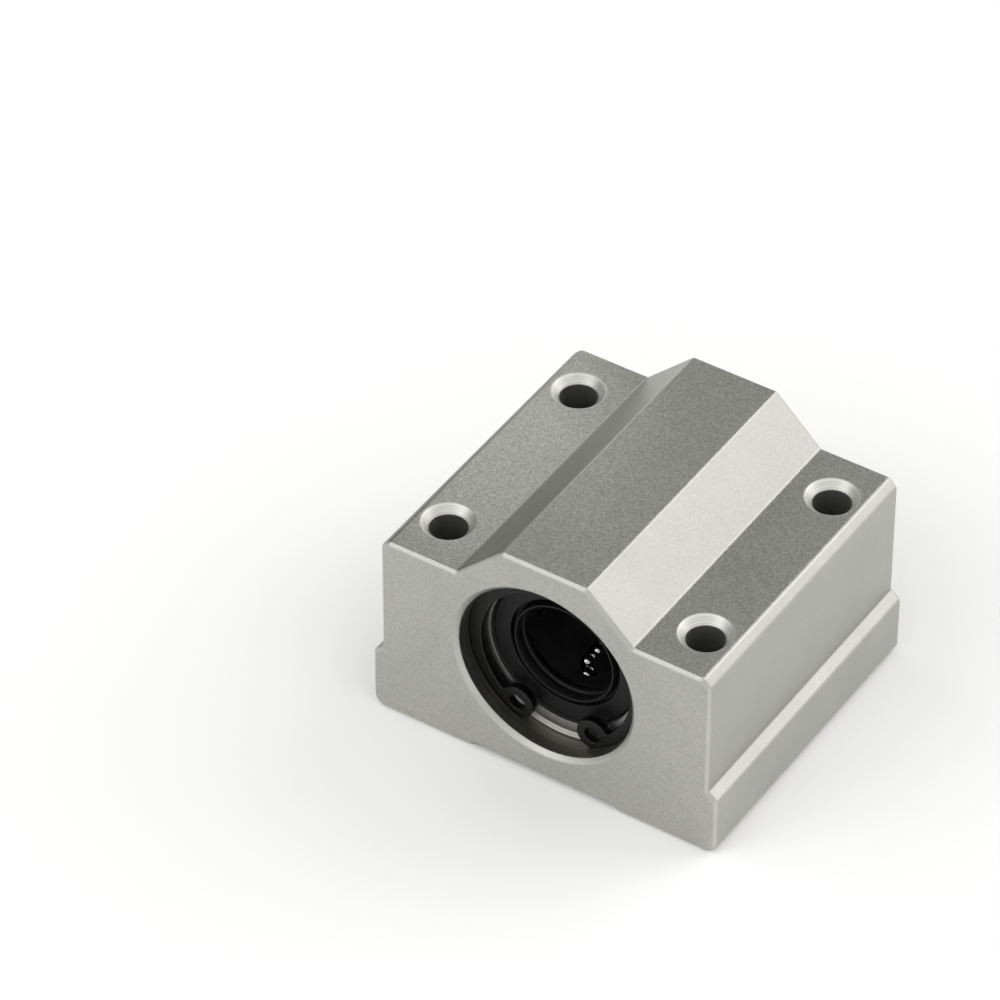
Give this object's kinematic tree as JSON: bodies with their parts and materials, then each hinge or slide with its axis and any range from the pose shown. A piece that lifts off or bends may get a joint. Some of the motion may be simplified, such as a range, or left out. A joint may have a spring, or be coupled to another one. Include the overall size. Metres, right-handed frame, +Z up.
{
  "type": "linear bearing block",
  "caption": "Aluminium bearing block with a humped top, a closed ball bushing for a round shaft, seals, circlips and countersunk bolt holes in both shoulders.",
  "frame": {"origin": "on the shaft axis, at the middle of the block's length", "axes": "+Y along the shaft, from the circlip end seen in the picture to the far end; +Z up, away from the mounting base; +X across the block"},
  "size_m": [0.044, 0.039, 0.03],
  "materials": {
    "housing_aluminium": "fine blasted and clear anodised",
    "bushing_steel": "ground and turned bright",
    "circlip_steel": "blackened spring steel",
    "ring_steel": "plain spring steel",
    "ball_steel": "polished bearing steel",
    "retainer_plastic": "moulded black resin",
    "seal_rubber": "moulded black rubber"
  },
  "bodies": {
    "block": {"housing": "housing_aluminium", "bushing_sleeve": "bushing_steel", "ball_retainer": "retainer_plastic", "front_circlip": "circlip_steel", "rear_circlip": "circlip_steel", "front_end_ring": "ring_steel", "rear_end_ring": "ring_steel", "front_seal": "seal_rubber", "rear_seal": "seal_rubber"},
    "circuit_1_loaded": {"circuit_1_loaded_balls": "ball_steel"},
    "circuit_1_rear_turn": {"circuit_1_rear_turn_balls": "ball_steel"},
    "circuit_1_return": {"circuit_1_return_balls": "ball_steel"},
    "circuit_1_front_turn": {"circuit_1_front_turn_balls": "ball_steel"},
    "circuit_2_loaded": {"circuit_2_loaded_balls": "ball_steel"},
    "circuit_2_rear_turn": {"circuit_2_rear_turn_balls": "ball_steel"},
    "circuit_2_return": {"circuit_2_return_balls": "ball_steel"},
    "circuit_2_front_turn": {"circuit_2_front_turn_balls": "ball_steel"},
    "circuit_3_loaded": {"circuit_3_loaded_balls": "ball_steel"},
    "circuit_3_rear_turn": {"circuit_3_rear_turn_balls": "ball_steel"},
    "circuit_3_return": {"circuit_3_return_balls": "ball_steel"},
    "circuit_3_front_turn": {"circuit_3_front_turn_balls": "ball_steel"},
    "circuit_4_loaded": {"circuit_4_loaded_balls": "ball_steel"},
    "circuit_4_rear_turn": {"circuit_4_rear_turn_balls": "ball_steel"},
    "circuit_4_return": {"circuit_4_return_balls": "ball_steel"},
    "circuit_4_front_turn": {"circuit_4_front_turn_balls": "ball_steel"}
  },
  "joints": [
    {"name": "circuit_1_loaded_travel", "type": "slide", "parent": "block", "child": "circuit_1_loaded", "axis": [0, 1, 0], "range_m": [0, 0.00212]},
    {"name": "circuit_1_rear_turn_travel", "type": "hinge", "parent": "block", "child": "circuit_1_rear_turn", "pos_m": [0.00092, 0.00848, -0.00709], "axis": [-0.0925, 0, -0.9957], "range_deg": [0, 60]},
    {"name": "circuit_1_return_travel", "type": "slide", "parent": "block", "child": "circuit_1_return", "axis": [0, -1, 0], "range_m": [0, 0.00212]},
    {"name": "circuit_1_front_turn_travel", "type": "hinge", "parent": "block", "child": "circuit_1_front_turn", "pos_m": [0.00092, -0.00848, -0.00709], "axis": [-0.0925, 0, -0.9957], "range_deg": [0, 60]},
    {"name": "circuit_2_loaded_travel", "type": "slide", "parent": "block", "child": "circuit_2_loaded", "axis": [0, 1, 0], "range_m": [0, 0.00212]},
    {"name": "circuit_2_rear_turn_travel", "type": "hinge", "parent": "block", "child": "circuit_2_rear_turn", "pos_m": [-0.00709, 0.00848, -0.00092], "axis": [-0.9957, 0, 0.0925], "range_deg": [0, 60]},
    {"name": "circuit_2_return_travel", "type": "slide", "parent": "block", "child": "circuit_2_return", "axis": [0, -1, 0], "range_m": [0, 0.00212]},
    {"name": "circuit_2_front_turn_travel", "type": "hinge", "parent": "block", "child": "circuit_2_front_turn", "pos_m": [-0.00709, -0.00848, -0.00092], "axis": [-0.9957, 0, 0.0925], "range_deg": [0, 60]},
    {"name": "circuit_3_loaded_travel", "type": "slide", "parent": "block", "child": "circuit_3_loaded", "axis": [0, 1, 0], "range_m": [0, 0.00212]},
    {"name": "circuit_3_rear_turn_travel", "type": "hinge", "parent": "block", "child": "circuit_3_rear_turn", "pos_m": [-0.00092, 0.00848, 0.00709], "axis": [0.0925, 0, 0.9957], "range_deg": [0, 60]},
    {"name": "circuit_3_return_travel", "type": "slide", "parent": "block", "child": "circuit_3_return", "axis": [0, -1, 0], "range_m": [0, 0.00212]},
    {"name": "circuit_3_front_turn_travel", "type": "hinge", "parent": "block", "child": "circuit_3_front_turn", "pos_m": [-0.00092, -0.00848, 0.00709], "axis": [0.0925, 0, 0.9957], "range_deg": [0, 60]},
    {"name": "circuit_4_loaded_travel", "type": "slide", "parent": "block", "child": "circuit_4_loaded", "axis": [0, 1, 0], "range_m": [0, 0.00212]},
    {"name": "circuit_4_rear_turn_travel", "type": "hinge", "parent": "block", "child": "circuit_4_rear_turn", "pos_m": [0.00709, 0.00848, 0.00092], "axis": [0.9957, 0, -0.0925], "range_deg": [0, 60]},
    {"name": "circuit_4_return_travel", "type": "slide", "parent": "block", "child": "circuit_4_return", "axis": [0, -1, 0], "range_m": [0, 0.00212]},
    {"name": "circuit_4_front_turn_travel", "type": "hinge", "parent": "block", "child": "circuit_4_front_turn", "pos_m": [0.00709, -0.00848, 0.00092], "axis": [0.9957, 0, -0.0925], "range_deg": [0, 60]}
  ],
  "couplings": [
    {"joint": "circuit_1_rear_turn_travel", "follows": "circuit_1_loaded_travel", "rad_per_m": 494.07},
    {"joint": "circuit_1_return_travel", "follows": "circuit_1_loaded_travel", "ratio": 1},
    {"joint": "circuit_1_front_turn_travel", "follows": "circuit_1_loaded_travel", "rad_per_m": 494.07},
    {"joint": "circuit_2_loaded_travel", "follows": "circuit_1_loaded_travel", "ratio": 1},
    {"joint": "circuit_2_rear_turn_travel", "follows": "circuit_1_loaded_travel", "rad_per_m": 494.07},
    {"joint": "circuit_2_return_travel", "follows": "circuit_1_loaded_travel", "ratio": 1},
    {"joint": "circuit_2_front_turn_travel", "follows": "circuit_1_loaded_travel", "rad_per_m": 494.07},
    {"joint": "circuit_3_loaded_travel", "follows": "circuit_1_loaded_travel", "ratio": 1},
    {"joint": "circuit_3_rear_turn_travel", "follows": "circuit_1_loaded_travel", "rad_per_m": 494.07},
    {"joint": "circuit_3_return_travel", "follows": "circuit_1_loaded_travel", "ratio": 1},
    {"joint": "circuit_3_front_turn_travel", "follows": "circuit_1_loaded_travel", "rad_per_m": 494.07},
    {"joint": "circuit_4_loaded_travel", "follows": "circuit_1_loaded_travel", "ratio": 1},
    {"joint": "circuit_4_rear_turn_travel", "follows": "circuit_1_loaded_travel", "rad_per_m": 494.07},
    {"joint": "circuit_4_return_travel", "follows": "circuit_1_loaded_travel", "ratio": 1},
    {"joint": "circuit_4_front_turn_travel", "follows": "circuit_1_loaded_travel", "rad_per_m": 494.07}
  ]
}
